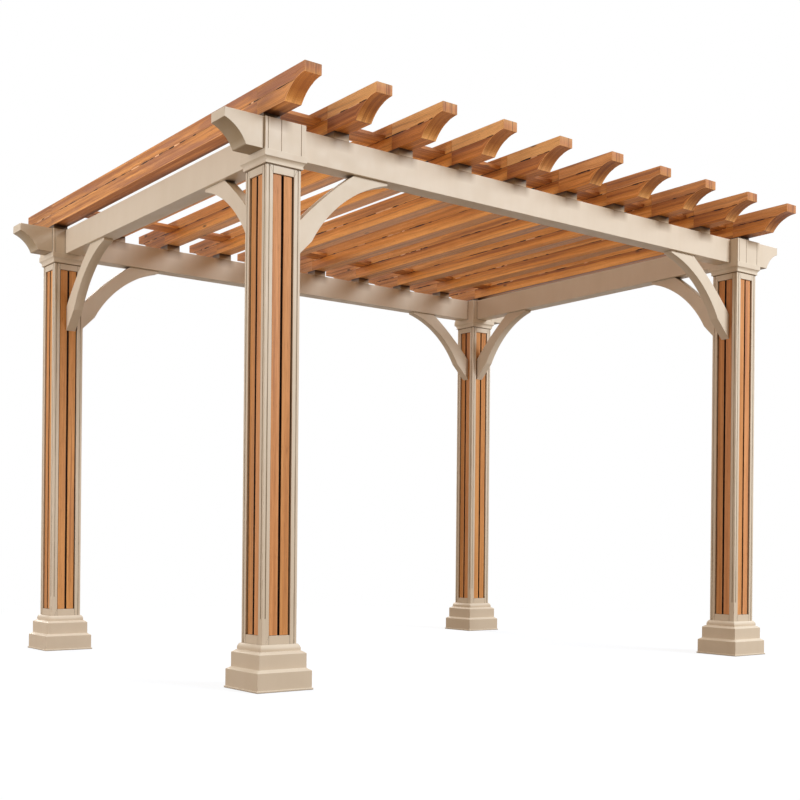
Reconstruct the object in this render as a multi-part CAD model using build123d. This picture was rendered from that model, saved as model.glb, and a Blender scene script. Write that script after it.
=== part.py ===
from build123d import *
import math
import os

# Wooden pergola: four cased posts, a ring of painted beams, coved brackets,
# arched knee braces and ten timber rafters with coved tails.
# Millimetres. X runs along the front, Y from front to back, Z up.
# The origin is on the ground, midway between the four posts.

# The plan: distances between post centres
post_span_x = 3500.0
post_span_y = 2580.0

# The post casing
post_width = 190.0
post_corner_round = 2.5

# The sunk panel on each face of a post, and the two slats in it
panel_width = 116.0
panel_depth = 22.0
panel_bottom = 258.0
top_rail_height = 40.0
slat_thickness = 13.0
slat_middle_gap = 12.0
slat_side_gap = 5.5
slat_end_gap = 1.5
slat_edge_chamfer = 1.5

# The groove that sets the corner strip off from the panel frame. It runs down to
# the skirt, but at one corner of each post the pair stops short
corner_strip_width = 13.0
groove_width = 6.0
groove_depth = 4.0
groove_stop = 338.0

# The moulded skirt round the foot of a post
foot_plate_width = 310.0
foot_plate_height = 9.0
lower_block_width = 300.0
lower_block_top = 91.0
lower_bevel_rise = 12.0
middle_block_width = 262.0
middle_block_top = 173.0
middle_bevel_rise = 11.0
ledge_width = 228.0
ovolo_width = 220.0
ovolo_bulge = 5.0
skirt_top_width = 200.0
skirt_top = 217.0

# The cap moulding and the square head block on it
cap_bottom = 2460.0
cap_height = 60.0
cap_fillet_width = 208.0
cap_fillet_height = 6.0
cap_cove_height = 24.0
cap_band_width = 232.0
head_block_width = 224.0
block_strip_width = 13.0
block_groove_width = 4.0
block_groove_depth = 3.0
block_joint_offset = -25.0
block_right_strip_width = 25.0

# The beams between the head blocks
beam_height = 150.0
beam_thickness = 100.0
side_beam_inset = 18.0

# The coved bracket that stands out from each head block
bracket_reach = 208.0
bracket_thickness = 126.0
bracket_face_setback = 13.0
bracket_nose = 45.0
bracket_cove_reach = 113.0
bracket_cove_hollow = 16.5

# The arched knee braces, measured from the face of the slats and the beam underside
brace_thickness = 60.0
brace_back_drop = 330.0
brace_back_reach = 365.0
brace_back_rise = 14.0
brace_tip_reach = 570.0
brace_tip_depth = 15.0
brace_toe_drop = 485.0
brace_toe_cut = 118.0
brace_arch_rise = 60.0

# The rafters and the blocks that carry them on the beams
rafter_count = 10
rafter_width = 92.0
rafter_height = 137.0
rafter_overhang = 400.0
rafter_outset = 40.0
rafter_nose = 50.0
rafter_cove_reach = 165.0
rafter_cove_hollow = 22.5
glue_line_height = 73.0
glue_line_width = 3.0
glue_line_depth = 2.0
splice_offset = 8.0
seat_height = 38.0

# The flat boards between the rafters, just inside the front and back beams
blocking_thickness = 18.0
blocking_depth = 140.0
blocking_gap = 16.0

# Heights that follow from the sizes above
cap_top = cap_bottom + cap_height
beam_top = cap_top + beam_height
rafter_bottom = beam_top + seat_height
panel_top = cap_bottom - top_rail_height
half_x = post_span_x / 2
half_y = post_span_y / 2
rafter_pitch = (post_span_x + 2 * rafter_outset) / (rafter_count - 1)

# The four corners: name, then which way is outward along X and along Y
corners = [
    ("front_left", -1, -1),
    ("front_right", 1, -1),
    ("back_left", -1, 1),
    ("back_right", 1, 1),
]

parts = {}


def block(width, depth, height, bottom=0.0):
    """An upright rectangular block standing at the given height."""
    return Pos(0, 0, bottom) * Box(width, depth, height, align=(Align.CENTER, Align.CENTER, Align.MIN))


def square_moulding(edges):
    """A square moulding with mitred corners: one half-profile, seen from two sides.

    edges draws the right-hand half from the axis at the bottom to the axis at the top.
    """
    half = make_face(edges)
    outline = half + mirror(half, Plane.YZ)
    reach = 400.0
    along_y = extrude(outline, reach, both=True)
    along_x = Rot(0, 0, 90) * along_y
    return along_y & along_x


def half_outline(points):
    """Straight profile edges through points given as (half width, height)."""
    return [Line((a[0], 0, a[1]), (b[0], 0, b[1])) for a, b in zip(points, points[1:])]


def on_each_face(shape):
    """Four copies of a shape, one for each face of a post."""
    return [Rot(0, 0, 90 * turn) * shape for turn in range(4)]


def make_post():
    """The casing: corner strips, grooves and a framed, sunk panel on each face."""
    height = cap_top
    outline = RectangleRounded(post_width, post_width, post_corner_round)
    post = extrude(outline, height)
    face = -post_width / 2
    panel = Pos(0, face, 0) * block(panel_width, 2 * panel_depth, panel_top - panel_bottom, panel_bottom)
    groove_x = post_width / 2 - corner_strip_width - groove_width / 2
    groove = block(groove_width, 2 * groove_depth, cap_bottom - skirt_top, skirt_top)
    stopped = block(groove_width, 2 * groove_depth, cap_bottom - groove_stop, groove_stop)
    cuts = on_each_face(panel)
    for turn in range(4):
        left_hand = stopped if turn == 0 else groove
        right_hand = stopped if turn == 3 else groove
        cuts.append(Rot(0, 0, 90 * turn) * Pos(-groove_x, face, 0) * left_hand)
        cuts.append(Rot(0, 0, 90 * turn) * Pos(groove_x, face, 0) * right_hand)
    return post - cuts


def make_slats():
    """Two upright slats in each panel, with a dark gap between them and at the sides."""
    width = (panel_width - slat_middle_gap - 2 * slat_side_gap) / 2
    height = panel_top - panel_bottom - 2 * slat_end_gap
    slat = block(width, slat_thickness, height, panel_bottom + slat_end_gap)
    front_edges = slat.edges().filter_by(Axis.Z).group_by(Axis.Y)[0]
    slat = chamfer(front_edges, slat_edge_chamfer)
    middle_x = (width + slat_middle_gap) / 2
    seat_y = -post_width / 2 + panel_depth - slat_thickness / 2
    slats = []
    for side in (-1, 1):
        slats += on_each_face(Pos(side * middle_x, seat_y, 0) * slat)
    return slats


def make_skirt():
    """The stepped skirt: foot plate, two bevelled blocks and a quarter-round top."""
    ovolo_foot = middle_block_top + middle_bevel_rise
    ovolo = ovolo_width / 2
    neck = skirt_top_width / 2
    points = [
        (0, 0),
        (foot_plate_width / 2, 0),
        (foot_plate_width / 2, foot_plate_height),
        (lower_block_width / 2, foot_plate_height),
        (lower_block_width / 2, lower_block_top),
        (middle_block_width / 2, lower_block_top + lower_bevel_rise),
        (middle_block_width / 2, middle_block_top),
        (ledge_width / 2, ovolo_foot),
        (ovolo, ovolo_foot),
    ]
    edges = half_outline(points)
    bulge = ((ovolo + neck) / 2 + ovolo_bulge, 0, (ovolo_foot + skirt_top) / 2)
    edges.append(ThreePointArc((ovolo, 0, ovolo_foot), bulge, (neck, 0, skirt_top)))
    edges += half_outline([(neck, skirt_top), (0, skirt_top), (0, 0)])
    hole = block(post_width, post_width, skirt_top)
    return square_moulding(edges) - hole


def make_capital():
    """The cap moulding with its cove, and the head block with its corner strips."""
    fillet = cap_fillet_width / 2
    band = cap_band_width / 2
    head = head_block_width / 2
    cove_bottom = cap_bottom + cap_fillet_height
    cove_top = cove_bottom + cap_cove_height
    edges = half_outline([(0, cap_bottom), (fillet, cap_bottom), (fillet, cove_bottom)])
    hollow = (fillet + (band - fillet) * 0.3, 0, cove_bottom + (cove_top - cove_bottom) * 0.7)
    edges.append(ThreePointArc((fillet, 0, cove_bottom), hollow, (band, 0, cove_top)))
    edges += half_outline([(band, cove_top), (band, cap_top), (head, cap_top), (head, beam_top)])
    edges += half_outline([(head, beam_top), (0, beam_top), (0, cap_bottom)])
    hole = block(post_width, post_width, cap_height, cap_bottom)
    capital = square_moulding(edges) - hole
    left_strip_x = -head + block_strip_width + block_groove_width / 2
    right_strip_x = head - block_right_strip_width - block_groove_width / 2
    groove = block(block_groove_width, 2 * block_groove_depth, beam_height, cap_top)
    cuts = []
    for x in (left_strip_x, block_joint_offset, right_strip_x):
        for facing in (-1, 1):
            cuts.append(Pos(x, facing * head, 0) * groove)
    return capital - cuts


def coved_end(tip, top, bottom, nose, reach, hollow):
    """Profile edges of a coved end, from its top corner round to the bottom edge.

    The end drops by the nose, then one hollow arc runs back and down to the
    underside. Returns the edges and the corner where the arc ends.
    """
    drop = top - nose - bottom
    root = tip - reach
    chord = math.hypot(reach, drop)
    crown_x = tip - reach / 2 - hollow * drop / chord
    crown_z = bottom + drop / 2 + hollow * reach / chord
    edges = [
        Line((tip, top), (tip, top - nose)),
        ThreePointArc((tip, top - nose), (crown_x, crown_z), (root, bottom)),
    ]
    return edges, root


def make_bracket():
    """The coved bracket, standing out along +X from a head block's face.

    It is narrower than the block and lies towards the front at every post.
    """
    root = head_block_width / 2
    tip = root + bracket_reach
    cove = (bracket_cove_reach, bracket_cove_hollow)
    edges, flat_end = coved_end(tip, beam_top, cap_top, bracket_nose, *cove)
    edges.append(Line((flat_end, cap_top), (root, cap_top)))
    edges.append(Line((root, cap_top), (root, beam_top)))
    edges.append(Line((root, beam_top), (tip, beam_top)))
    profile = Plane.XZ * make_face(edges)
    front = head_block_width / 2 - bracket_face_setback
    return Pos(0, -front, 0) * extrude(profile, -bracket_thickness)


def arc_between(start, end, rise):
    """An arc from start to end that rises to the left of the chord."""
    middle = ((start[0] + end[0]) / 2, (start[1] + end[1]) / 2)
    run = (end[0] - start[0], end[1] - start[1])
    length = math.hypot(run[0], run[1])
    crown = (middle[0] - run[1] / length * rise, middle[1] + run[0] / length * rise)
    return ThreePointArc(start, crown, end)


def make_brace():
    """An arched knee brace along +X: its foot bears on the slats, its head on the beam."""
    face = post_width / 2 - panel_depth + slat_thickness
    heel = (face, cap_top - brace_back_drop)
    shoulder = (face + brace_back_reach, cap_top)
    tip = (face + brace_tip_reach, cap_top)
    tip_under = (tip[0], cap_top - brace_tip_depth)
    toe = (face, cap_top - brace_toe_drop)
    ankle = (face + brace_toe_cut, cap_top - brace_toe_drop + brace_toe_cut)
    edges = [
        arc_between(heel, shoulder, brace_back_rise),
        Line(shoulder, tip),
        Line(tip, tip_under),
        arc_between(ankle, tip_under, brace_arch_rise),
        Line(ankle, toe),
        Line(toe, heel),
    ]
    profile = Plane.XZ * make_face(edges)
    return extrude(profile, brace_thickness / 2, both=True)


def make_rafter():
    """A rafter of two boards, one on the other, with a coved tail at each end."""
    top = rafter_bottom + rafter_height
    tip = half_y + rafter_overhang
    cove = (rafter_cove_reach, rafter_cove_hollow)
    edges, root = coved_end(tip, top, rafter_bottom, rafter_nose, *cove)
    edges.append(Line((root, rafter_bottom), (0, rafter_bottom)))
    edges.append(Line((0, rafter_bottom), (0, top)))
    edges.append(Line((0, top), (tip, top)))
    back_half = extrude(Plane.YZ * make_face(edges), rafter_width / 2, both=True)
    rafter = back_half + mirror(back_half, Plane.XZ)
    side = rafter_width / 2
    level = rafter_bottom + glue_line_height
    vee = Polygon(
        (side - glue_line_depth, level),
        (side + glue_line_depth, level - glue_line_width),
        (side + glue_line_depth, level + glue_line_width),
        align=None,
    )
    line = extrude(Plane.XZ * vee, tip, both=True)
    splice = block(glue_line_depth, glue_line_width / 2, rafter_height, rafter_bottom)
    cuts = [line, mirror(line, Plane.YZ)]
    for facing in (-1, 1):
        for hand in (-1, 1):
            cuts.append(Pos(hand * side, facing * (half_y - splice_offset), 0) * splice)
    return rafter - cuts


def rafter_x(number):
    """The centre line of a rafter, counted from 0 at the left."""
    return -half_x - rafter_outset + number * rafter_pitch


def make_seats():
    """One painted block under each rafter on the front and on the back beam."""
    seat = block(rafter_width, beam_thickness, seat_height, beam_top)
    return [Pos(rafter_x(n), y, 0) * seat for n in range(rafter_count) for y in (-half_y, half_y)]


def make_blocking():
    """Flat boards that tie neighbouring rafters, just inside the two long beams."""
    width = rafter_pitch - rafter_width
    level = rafter_bottom + glue_line_height
    board = block(width, blocking_depth, blocking_thickness, level)
    inset = half_y - beam_thickness / 2 - blocking_gap - blocking_depth / 2
    boards = []
    for bay in range(rafter_count - 1):
        for y in (-inset, inset):
            boards.append(Pos(rafter_x(bay) + rafter_pitch / 2, y, 0) * board)
    return boards


def beam(length):
    """A plain beam along X, centred over the post line."""
    return block(length, beam_thickness, beam_height, cap_top)


post = make_post()
slats = make_slats()
skirt = make_skirt()
capital = make_capital()
bracket = make_bracket()
brace = make_brace()
rafter = make_rafter()

for name, out_x, out_y in corners:
    place = Pos(out_x * half_x, out_y * half_y, 0)
    parts[name + "_post"] = place * post
    parts[name + "_slats"] = Compound([place * slat for slat in slats])
    parts[name + "_skirt"] = place * skirt
    parts[name + "_capital"] = place * capital
    turned_bracket = mirror(bracket, Plane.YZ) if out_x < 0 else bracket
    parts[name + "_bracket"] = place * turned_bracket
    front_turn = 0 if out_x < 0 else 180
    side_turn = 90 if out_y < 0 else 270
    sideways = Pos(-out_x * side_beam_inset, 0, 0)
    parts[name + "_long_brace"] = place * Rot(0, 0, front_turn) * brace
    parts[name + "_side_brace"] = place * sideways * Rot(0, 0, side_turn) * brace

long_beam = beam(post_span_x - head_block_width)
side_beam = Rot(0, 0, 90) * beam(post_span_y - head_block_width)
parts["front_beam"] = Pos(0, -half_y, 0) * long_beam
parts["back_beam"] = Pos(0, half_y, 0) * long_beam
parts["left_beam"] = Pos(-half_x + side_beam_inset, 0, 0) * side_beam
parts["right_beam"] = Pos(half_x - side_beam_inset, 0, 0) * side_beam

for number in range(rafter_count):
    parts[f"rafter_{number + 1:02d}"] = Pos(rafter_x(number), 0, 0) * rafter

parts["rafter_seats"] = Compound(make_seats())
parts["rafter_blocking"] = Compound(make_blocking())

os.makedirs("parts", exist_ok=True)
for name, shape in parts.items():
    export_step(shape, f"parts/{name}.step")
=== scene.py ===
# %% [markdown]
# # A garden pergola, from plain solids to a finished picture
# The construction comes in ready made: posts, beams, brackets, braces and rafters at their real
# size, in metres, with +Z up and the origin on the ground midway between the posts. This script
# dresses them. It builds the boards of the post casings, the wood slats, the two-board rafters
# and the chips in their glue lines, and it mixes the paint and the timber finishes.
# Lengths are real ones, in metres, and angles are in radians, unless a name says otherwise.

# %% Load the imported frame
import math
import random

from collections import namedtuple

import bmesh
import bpy
from mathutils import Matrix, Vector, noise


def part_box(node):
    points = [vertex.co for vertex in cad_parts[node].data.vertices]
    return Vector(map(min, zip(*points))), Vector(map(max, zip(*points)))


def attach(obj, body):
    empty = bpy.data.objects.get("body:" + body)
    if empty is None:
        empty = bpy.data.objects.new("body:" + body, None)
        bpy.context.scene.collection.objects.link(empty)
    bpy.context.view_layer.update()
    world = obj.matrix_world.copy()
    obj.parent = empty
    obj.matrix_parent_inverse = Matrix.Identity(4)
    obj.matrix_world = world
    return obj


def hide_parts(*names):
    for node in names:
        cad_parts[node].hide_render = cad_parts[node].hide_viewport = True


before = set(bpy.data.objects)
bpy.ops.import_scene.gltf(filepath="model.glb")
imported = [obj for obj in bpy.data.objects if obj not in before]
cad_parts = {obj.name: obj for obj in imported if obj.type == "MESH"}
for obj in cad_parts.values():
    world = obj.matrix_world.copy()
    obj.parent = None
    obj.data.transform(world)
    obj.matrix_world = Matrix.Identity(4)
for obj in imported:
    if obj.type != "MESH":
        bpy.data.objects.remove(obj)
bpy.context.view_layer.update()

# %% [markdown]
# Where things stand is read from the frame instead of being typed again: the box of a post gives
# its centre and its width, the box of a rafter gives its height and length. If the construction
# changes by a few centimetres, the dressing follows.

# %% Read the places of the main pieces
def box_centre(node):
    """The middle of a node's box."""
    low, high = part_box(node)
    return (low + high) / 2


def box_size(node):
    """The three sides of a node's box."""
    low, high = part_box(node)
    return high - low


corner_names = ["front_left", "front_right", "back_left", "back_right"]
post_centre = {name: box_centre(name + "_post") for name in corner_names}
post_width = box_size("front_left_post").x
post_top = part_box("front_left_post")[1].z
rafter_names = sorted(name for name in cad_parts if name.startswith("rafter_") and name[-1].isdigit())
print("posts", post_width, "wide and", round(post_top, 3), "high;", len(rafter_names), "rafters")

# %% [markdown]
# ## The camera
# The picture was taken from about 0.7 m over the ground, and level, but its horizon lies low in the
# frame: the lens was shifted, or a wider picture was cropped. That is why the posts stay upright. A
# tilted camera would make them lean, so here the camera stays level too and the lens is shifted up.

# %% Set up the camera
camera_place = Vector((-4.755, -6.237, 0.693))
camera_turn = 0.6531
camera_roll = 0.0095
photo_pixels = 800
focal_pixels = 1210.2
horizon_pixel = 544.0
sensor_mm = 36.0

lens = bpy.data.cameras.new("camera")
lens.sensor_width = sensor_mm
lens.sensor_fit = "HORIZONTAL"
lens.lens = sensor_mm * focal_pixels / photo_pixels
lens.shift_y = (horizon_pixel - photo_pixels / 2) / photo_pixels
camera = bpy.data.objects.new("camera", lens)
camera.location = camera_place
camera.rotation_euler = (math.pi / 2, -camera_roll, -camera_turn)
bpy.context.scene.collection.objects.link(camera)
bpy.context.scene.camera = camera
print("lens", round(lens.lens, 2), "mm, shifted up by", round(lens.shift_y, 3))

# %% [markdown]
# ## Helpers for materials
# A material is a small graph of nodes. A few short helpers keep each graph readable: they add a
# node, do a sum, make a colour ramp, tint or cover a colour, and draw soft noise.

# %% Material helpers
def new_material(name):
    """A node material, its tree and its shader."""
    material = bpy.data.materials.new(name)
    material.use_nodes = True
    tree = material.node_tree
    return material, tree, tree.nodes["Principled BSDF"]


def add_node(tree, kind, inputs=None, **settings):
    """Adds a node, sets its properties, and fills or links its inputs."""
    node = tree.nodes.new(kind)
    for key, value in settings.items():
        setattr(node, key, value)
    for key, value in (inputs or {}).items():
        if isinstance(value, bpy.types.NodeSocket):
            tree.links.new(value, node.inputs[key])
        else:
            node.inputs[key].default_value = value
    return node


def calculate(tree, operation, *inputs):
    """One sum on one or two values."""
    return add_node(tree, "ShaderNodeMath", dict(enumerate(inputs)), operation=operation).outputs[0]


def calculate_vector(tree, operation, *inputs):
    """One sum on vectors. A dot product or a length gives a value, and the rest give a vector."""
    node = add_node(tree, "ShaderNodeVectorMath", dict(enumerate(inputs)), operation=operation)
    return node.outputs["Value" if operation in ("DOT_PRODUCT", "LENGTH") else "Vector"]


def part_of(tree, vector, axis):
    """The X, Y or Z of a vector."""
    return add_node(tree, "ShaderNodeSeparateXYZ", {0: vector}).outputs[axis]


def remap(tree, value, low, high, to_low=0.0, to_high=1.0):
    """Stretches a range of a value onto another range, clamped at both ends."""
    inputs = {"Value": value, "From Min": low, "From Max": high, "To Min": to_low, "To Max": to_high}
    return add_node(tree, "ShaderNodeMapRange", inputs).outputs["Result"]


def ramp(tree, factor, stops):
    """A colour ramp through (position, colour) stops."""
    node = add_node(tree, "ShaderNodeValToRGB", {"Fac": factor})
    elements = node.color_ramp.elements
    while len(elements) < len(stops):
        elements.new(0.5)
    for element, (position, colour) in zip(elements, stops):
        element.position = position
        element.color = (*colour, 1.0)
    return node.outputs["Color"]


# The sockets of a Mix node that take the share and the two colours, and the one that gives the result.
mix_inputs = (0, 6, 7)
mix_output = 2


def mix_colours(tree, kind, share, first, second):
    """Mixes two colours. The colours and the share may each be a socket or a plain value."""
    node = add_node(tree, "ShaderNodeMix", data_type="RGBA", blend_type=kind, clamp_factor=True)
    for place, value in zip(mix_inputs, (share, first, second)):
        if isinstance(value, bpy.types.NodeSocket):
            tree.links.new(value, node.inputs[place])
        else:
            node.inputs[place].default_value = (*value, 1.0) if isinstance(value, tuple) else value
    return node.outputs[mix_output]


def tint(tree, colour, tone, share=1.0):
    """Multiplies a colour by a tone, wholly or by a share."""
    return mix_colours(tree, "MULTIPLY", share, colour, tone)


def cover(tree, colour, other, share):
    """Lays another colour over the first, by a share."""
    return mix_colours(tree, "MIX", share, colour, other)


def stretch(tree, vector, scale, shift=(0.0, 0.0, 0.0)):
    """Scales a coordinate so that a pattern runs long in one direction."""
    inputs = {"Vector": vector, "Scale": scale, "Location": shift}
    return add_node(tree, "ShaderNodeMapping", inputs).outputs["Vector"]


def cloud(tree, vector, scale, detail, roughness, distortion=0.0):
    """Soft noise between 0 and 1."""
    inputs = {"Vector": vector, "Scale": scale, "Detail": detail, "Roughness": roughness}
    inputs["Distortion"] = distortion
    return add_node(tree, "ShaderNodeTexNoise", inputs).outputs["Fac"]


def long_cloud(tree, vector, scale, detail, roughness, shift=(0.0, 0.0, 0.0), distortion=0.0):
    """Soft noise with a scale of its own for each direction."""
    return cloud(tree, stretch(tree, vector, scale, shift), 1.0, detail, roughness, distortion)


# %% [markdown]
# Wear, and painted light and shade, follow shape. The Bevel node rounds the shading normal near an
# edge, so where it disagrees with the true normal there is an arris. Ambient Occlusion finds corners
# and creases, where the materials paint shade. Both work on any mesh without unwrapping.

# %% Masks that follow the shape
relief_depth = 0.0006


def arris_mask(tree, normal, radius, gain):
    """0 on a flat, up to gain on an arris."""
    rounded = add_node(tree, "ShaderNodeBevel", {"Radius": radius}, samples=4).outputs["Normal"]
    agree = calculate_vector(tree, "DOT_PRODUCT", normal, rounded)
    return remap(tree, agree, 0.985, 0.80, 0.0, gain)


def openness(tree, distance, samples):
    """1 in the open, 0 deep in a corner, looking as far as distance."""
    return add_node(tree, "ShaderNodeAmbientOcclusion", {"Distance": distance}, samples=samples).outputs["AO"]


def finish_surface(tree, shader, colour, roughness, height, relief, shine):
    """Links a colour and a roughness to the shader, and adds fine relief and the strength of shine."""
    tree.links.new(colour, shader.inputs["Base Color"])
    tree.links.new(roughness, shader.inputs["Roughness"])
    bump = add_node(tree, "ShaderNodeBump", {"Height": height, "Strength": relief, "Distance": relief_depth})
    tree.links.new(bump.outputs["Normal"], shader.inputs["Normal"])
    shader.inputs["Specular IOR Level"].default_value = shine


# %% [markdown]
# ## The cream paint
# On the real pergola the posts, beams and braces wear one satin cream paint. Up close it isn't one
# colour: the roller leaves a faint texture and rain leaves the faces uneven. Light and shade are painted
# in as well: arrises rub lighter and carry a painted highlight, corners and creases get a painted shade,
# and the ledges that look up get a painted highlight. A painted brown shadow falls on the beam under
# each rafter. As the rafters stand at even steps, one node that counts to and fro (PINGPONG) places
# every shadow.

# %% Colours and ranges of the paint
white = (1.0, 1.0, 1.0)
broad_stops = [(0.3, (0.95, 0.945, 0.93)), (0.7, white)]
patchy_stops = [(0.3, (0.965, 0.955, 0.94)), (0.62, white)]
lower_darkening_stops = [(0.0, (0.90, 0.86, 0.81)), (1.0, white)]
darkening_top = 2.3
# A partly painted highlight on the arrises, and a painted highlight on the faces that look up.
arris_wear_and_highlight = (0.93, 0.87, 0.77)
upward_highlight = (0.95, 0.87, 0.74)
upward_highlight_share = 0.70
upward_highlight_slope = (0.15, 0.65)
shaded_slope = (-0.10, -0.55)
# Painted shade for the corners and creases of the paint.
paint_nook_shade = (0.30, 0.215, 0.135)
# Painted shade on the seats, darkest under the rafters.
seat_shade_stops = [(0.0, (0.68, 0.60, 0.50)), (0.35, (0.38, 0.29, 0.19)), (0.85, (0.10, 0.06, 0.03))]
# A painted brown shadow on the beam under each rafter.
rafter_shadow_tint = (0.42, 0.33, 0.24)
rafter_shadow_length = 0.060
rafter_shadow_edge = (0.080, 0.040)
first_rafter = box_centre(rafter_names[0]).x
rafter_pitch = (box_centre(rafter_names[-1]).x - first_rafter) / (len(rafter_names) - 1)
beam_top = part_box("front_beam")[1].z
print("drips every", round(rafter_pitch, 4), "m, from", round(first_rafter, 3))


# %% Mix the cream paint
def paint_material(
    name, colour, crease_shade, edge_gain,
    top_shade_heights=None, underside=None, blotches=None, rafter_shadows=False, nook_shade_gain=0.6,
):
    """Satin paint with roller texture, soft stains, arrises rubbed lighter with a painted highlight, and
    painted shade in creases.

    Of the options, the first gives the heights over which a painted shade deepens towards the top,
    the second is the painted shade of the faces that look down, the third, blotches, is a patchy second
    colour, and the fourth adds painted shadows below the rafters.
    """
    material, tree, shader = new_material(name)
    place = add_node(tree, "ShaderNodeTexCoord").outputs["Object"]
    height = part_of(tree, place, "Z")
    # Uneven weathering, and a darkening towards the bottom.
    paint = tint(tree, colour, ramp(tree, cloud(tree, place, 1.7, 3.0, 0.55), broad_stops))
    paint = tint(tree, paint, ramp(tree, long_cloud(tree, place, (9.0, 9.0, 2.2), 4.0, 0.6), patchy_stops))
    if blotches:
        worn = long_cloud(tree, place, (6.0, 6.0, 2.4), 3.0, 0.6, (4.0, 1.0, 7.0))
        paint = cover(tree, paint, blotches, remap(tree, worn, 0.42, 0.60))
    paint = tint(tree, paint, ramp(tree, remap(tree, height, 0.0, darkening_top), lower_darkening_stops))
    # Arrises rubbed lighter, partly a painted highlight, and a painted highlight on the faces that look up.
    normal = add_node(tree, "ShaderNodeNewGeometry").outputs["Normal"]
    upward = part_of(tree, normal, "Z")
    paint = cover(tree, paint, arris_wear_and_highlight, arris_mask(tree, normal, 0.006, edge_gain))
    paint = cover(tree, paint, upward_highlight, remap(tree, upward, *upward_highlight_slope, 0.0, upward_highlight_share))
    # Painted shade in the corners and in the creases.
    paint = tint(tree, paint, paint_nook_shade, remap(tree, openness(tree, 0.16, 8), 0.52, 0.06, 0.0, nook_shade_gain))
    paint = cover(tree, paint, crease_shade, remap(tree, openness(tree, 0.03, 6), 0.60, 0.10, 0.0, 0.92))
    # A painted shade on the seats, deepening towards the rafters above them.
    if top_shade_heights:
        paint = tint(tree, paint, ramp(tree, remap(tree, height, *top_shade_heights), seat_shade_stops))
    # Painted shade on the faces that look down, used on the brackets.
    if underside:
        paint = tint(tree, paint, underside, remap(tree, upward, *shaded_slope))
    # Painted shadows of the rafters on the beam below each of them.
    if rafter_shadows:
        from_first = calculate(tree, "SUBTRACT", part_of(tree, place, "X"), first_rafter)
        aside = calculate(tree, "PINGPONG", from_first, rafter_pitch / 2)
        below = remap(tree, height, beam_top - rafter_shadow_length, beam_top)
        rafter_shadow = calculate(tree, "MULTIPLY", below, remap(tree, aside, *rafter_shadow_edge))
        paint = tint(tree, paint, rafter_shadow_tint, rafter_shadow)
    roughness = remap(tree, cloud(tree, place, 14.0, 3.0, 0.6), 0.25, 0.75, 0.42, 0.58)
    roller = cloud(tree, place, 420.0, 2.0, 0.5)
    finish_surface(tree, shader, paint, roughness, roller, 0.12, 0.35)
    return material


cream = (0.785, 0.678, 0.548)
cream_crease_shade = (0.15, 0.10, 0.06)
seat_low, seat_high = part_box("rafter_seats")
cream_paint = paint_material("cream_paint", cream, cream_crease_shade, 0.35)
# The grooves of the casing get a dark paint that stands for their shade: painted shade.
groove_shade_paint = paint_material(
    "groove_shade_paint", (0.44, 0.34, 0.23), (0.20, 0.135, 0.08), 0.0, blotches=(0.66, 0.56, 0.43)
)
bracket_paint = paint_material("bracket_paint", cream, cream_crease_shade, 0.35, underside=(0.50, 0.42, 0.31))
stained_paint = paint_material("stained_paint", cream, cream_crease_shade, 0.35, rafter_shadows=True, nook_shade_gain=0.45)
seat_paint = paint_material("seat_paint", cream, cream_crease_shade, 0.0, top_shade_heights=(seat_low.z, seat_high.z))
# A painted shadow for the open joint under the cap moulding.
joint_shadow_paint = paint_material("joint_shadow_paint", (0.24, 0.16, 0.09), (0.11, 0.07, 0.038), 0.0)
print("paint: 6 materials")

# %% [markdown]
# ## The timber
# Sawn softwood shows its grain along the board. Here every board carries a map named grain: across
# the board in one direction and along it in the other, in metres, with a shift of its own so that no
# two boards match. Each board also carries four traits: its tone from dark to light, its hue from
# orange to pinkish, how cloudy it is, and where it is cracked or freshly splintered. The colour is
# built in layers, from broad to fine: bands of heartwood, streaks, growth lines, fibres, pores and a
# few knots.

# %% Colours and ranges of the timber
board_traits = ("tone", "crack", "hue", "mottle")
grain_wander = 0.030
hue_stops = [(0.0, (1.05, 1.0, 0.80)), (0.35, white), (0.65, (0.96, 0.90, 1.2)), (1.0, (1.08, 1.26, 1.7))]
growth_stops = [(0.0, (1.06, 1.05, 1.03)), (0.72, (0.95, 0.92, 0.88)), (0.97, (0.62, 0.52, 0.44))]
fibre_stops = [(0.25, (0.78, 0.73, 0.68)), (0.65, (1.07, 1.07, 1.06))]
pore_tint = (0.45, 0.36, 0.30)
knot_colour = (0.10, 0.045, 0.02)
check_colour = (0.13, 0.06, 0.035)
check_place = 0.028
check_edge = (0.0035, 0.0010)
# Painted shade in the nooks of the timber.
timber_nook_shade = (0.16, 0.10, 0.055)
# The near-black of the open glue line and its chips: partly the dark joint, partly painted shade in the gap.
crack_shade = (0.022, 0.010, 0.006)
fresh_splinter = (0.80, 0.50, 0.29)
cove_slope = (-0.55, -1.0)


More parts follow.
